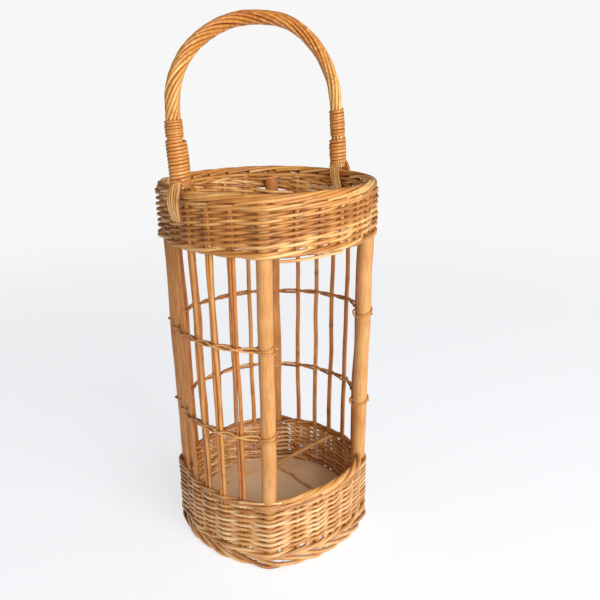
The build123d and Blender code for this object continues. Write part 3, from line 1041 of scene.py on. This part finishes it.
def make_ribbon(name, seed, radius, levels):
    """Five strands side by side, from the wrapping over the rim and down the weave."""
    rods = Rods(seed)
    choose = rods.random
    side = -1 if name.startswith("left") else 1
    for share in (-1, -0.5, 0, 0.5, 1):
        points = []
        for across, height, middle, spread, curl in levels:
            x = across - curl * share**2 + choose.uniform(-0.4, 0.4)
            y = middle + share * spread / 2 + choose.uniform(-0.3, 0.3)
            points.append(np.array((side * x, y, height)) * MM)
        points[-1][2] -= choose.uniform(0, 2) * MM
        path = smooth_route(points, 2.5 * MM)
        outward = np.cross(np.gradient(path, axis=0), (0, 1, 0))
        tone = choose.uniform(0.75, 1.0)
        rods.add(path, radius * choose.uniform(0.92, 1.02), facing=outward, tone=tone, knots=0.1)
    rods.build(f"strands_{name}", [name], BINDING_CANE)


# ---- Base canes --------------------------------------------------------------------


def make_base_canes():
    """Loose canes lying in the bottom: name, radius and points on the way, in
    millimetres. The short one has a kink."""
    canes = (
        ("long", 3.0, (109.2, -13.4, 92.0), (86.5, 26.0, 62.0), (62.4, 60.2, 33.6)),
        (
            "short",
            2.0,
            (59.4, 53.7, 32.1),
            (58.0, 30.0, 32.2),
            (61.0, 19.0, 33.4),
            (54.5, 9.0, 32.6),
            (53.0, -15.0, 32.2),
            (48.4, -48.7, 32.1),
        ),
        ("thin", 1.4, (-28.0, 74.4, 31.6), (6.0, 72.6, 31.6), (37.1, 68.2, 31.6)),
    )
    for seed, (name, radius, *points) in enumerate(canes, 71):
        rods = Rods(seed)
        path = smooth_route([np.array(p) * MM for p in points], 3 * MM)
        rods.add(path, radius * MM, tone=0.9, knots=0.06)
        rods.build(f"loose_cane_{name}", [f"base_cane_{name}"], BASE_CANE)


make_posts()
make_stakes()
make_bands()
make_rim_border()
make_foot_border()
make_sill()
make_ring("lower_ring", 43, ((18, -7), (19, -4), (20, 0)))
make_ring("upper_ring", 44, ((18, 3), (20, 6), (22, 3), (24, 0)))
make_ring_wraps("lower_ring_wraps", 45, -7 * MM)
make_ring_wraps("upper_ring_wraps", 46, 6 * MM)
make_roping()
for binding in BINDINGS:
    make_binding(*binding)
make_ribbon("left_outer_ribbon", 65, 2.3 * MM, OUTER_RIBBON)
make_ribbon("left_inner_ribbon", 66, 1.8 * MM, LEFT_INNER_RIBBON)
make_ribbon("right_outer_ribbon", 67, 1.9 * MM, OUTER_RIBBON)
make_ribbon("right_inner_ribbon", 68, 1.65 * MM, RIGHT_INNER_RIBBON)
make_base_canes()
for node, material in (("handle_core", CORE_WOOD), ("base_board", HARDBOARD)):
    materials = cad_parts[node].data.materials
    materials.clear()
    materials.append(material)

# ---- Floor, light and camera -------------------------------------------------------

FLOOR_RADIUS = 3.0
FLOOR_FADE = (0.5, 2.6)  # distances from the axis where the floor starts and ends fading
FLOOR_GLOW = 0.69  # keeps the floor near white in soft light


def make_floor():
    """A pale floor that fades into the wall behind."""
    bpy.ops.mesh.primitive_circle_add(vertices=96, radius=FLOOR_RADIUS, fill_type="NGON")
    floor = bpy.context.object
    floor.name = "floor"
    n = Nodes("floor")
    place = n.new("ShaderNodeTexCoord").outputs["Object"]
    distance = n.new("ShaderNodeVectorMath", operation="LENGTH")
    n.link(place, distance.inputs[0])
    fade = n.new("ShaderNodeMapRange", interpolation_type="SMOOTHERSTEP")
    set_range(fade, *FLOOR_FADE, 1.0, 0.0)
    n.link(distance.outputs["Value"], fade.inputs[0])
    n.link(fade.outputs[0], n.shader.inputs["Alpha"])
    n.set("Base Color", (0.42, 0.42, 0.43, 1))
    n.set("Emission Color", (0.93, 0.96, 1.0, 1))
    n.set("Emission Strength", FLOOR_GLOW)
    n.set("Roughness", 0.6)
    n.set("Specular IOR Level", 0.2)
    floor.data.materials.append(n.material)


ROOM_DARKEST, ROOM_BRIGHTEST = 0.1, 0.75  # away from the window, and towards it
CEILING = 0.75  # brightness overhead, as a share of the brightness all round
WINDOW = (-0.1, -0.995, 0.0)
ROOM_LIGHT = (1.0, 0.95, 0.88)
SEEN_WALL = (0.935, 0.93, 0.932)


def make_world():
    """A pale room. It lights the stand mostly from the side of the window, and the wall
    behind is near white."""
    world = bpy.data.worlds.new("studio")
    world.use_nodes = True
    tree = world.node_tree
    new, link = tree.nodes.new, tree.links.new
    direction = new("ShaderNodeTexCoord").outputs["Generated"]
    facing = new("ShaderNodeVectorMath")
    facing.operation = "DOT_PRODUCT"
    facing.inputs[1].default_value = WINDOW
    link(direction, facing.inputs[0])
    side = new("ShaderNodeMapRange")
    set_range(side, -1.0, 1.0, ROOM_DARKEST, ROOM_BRIGHTEST)
    link(facing.outputs["Value"], side.inputs[0])
    parts = new("ShaderNodeSeparateXYZ")
    link(direction, parts.inputs[0])
    above = new("ShaderNodeMapRange")
    set_range(above, 0.1, 1.0, 1.0, CEILING)
    link(parts.outputs[2], above.inputs[0])
    strength = new("ShaderNodeMath")
    strength.operation = "MULTIPLY"
    link(side.outputs[0], strength.inputs[0])
    link(above.outputs[0], strength.inputs[1])

    light = tree.nodes["Background"]
    light.inputs[0].default_value = (*ROOM_LIGHT, 1)
    link(strength.outputs[0], light.inputs[1])
    seen = new("ShaderNodeBackground")
    seen.inputs[0].default_value = (*SEEN_WALL, 1)
    rays = new("ShaderNodeLightPath")
    mix = new("ShaderNodeMixShader")
    link(rays.outputs["Is Camera Ray"], mix.inputs[0])
    link(light.outputs[0], mix.inputs[1])
    link(seen.outputs[0], mix.inputs[2])
    link(mix.outputs[0], tree.nodes["World Output"].inputs["Surface"])
    bpy.context.scene.world = world


LAMP_POWER, LAMP_SIZE, LAMP_PLACE = 54, 1.5, (-0.35, -2.3, 1.2)
LAMP_TARGET = Vector((0, 0, 0.3))


def make_light():
    data = bpy.data.lights.new("key", "AREA")
    data.energy, data.size = LAMP_POWER, LAMP_SIZE
    lamp = bpy.data.objects.new("key", data)
    lamp.location = LAMP_PLACE
    aim = LAMP_TARGET - lamp.location
    lamp.rotation_euler = aim.to_track_quat("-Z", "Y").to_euler()
    bpy.context.scene.collection.objects.link(lamp)


CAMERA_PLACE = (-0.6586, -0.7237, 0.6330)
CAMERA_DIRECTION = Vector((0.67326, 0.67961, -0.29131))
CAMERA_ROLL = -0.0094  # radians
CAMERA_LENS, CAMERA_SENSOR = 44.47, 36


def make_camera():
    data = bpy.data.cameras.new("camera")
    data.sensor_width, data.lens = CAMERA_SENSOR, CAMERA_LENS
    camera = bpy.data.objects.new("camera", data)
    roll = Matrix.Rotation(CAMERA_ROLL, 3, "Z")
    turn = CAMERA_DIRECTION.to_track_quat("-Z", "Y").to_matrix() @ roll
    camera.rotation_euler = turn.to_euler()
    camera.location = CAMERA_PLACE
    bpy.context.scene.collection.objects.link(camera)
    bpy.context.scene.camera = camera


make_floor()
make_world()
make_light()
make_camera()
bpy.context.scene.view_settings.view_transform = "Standard"
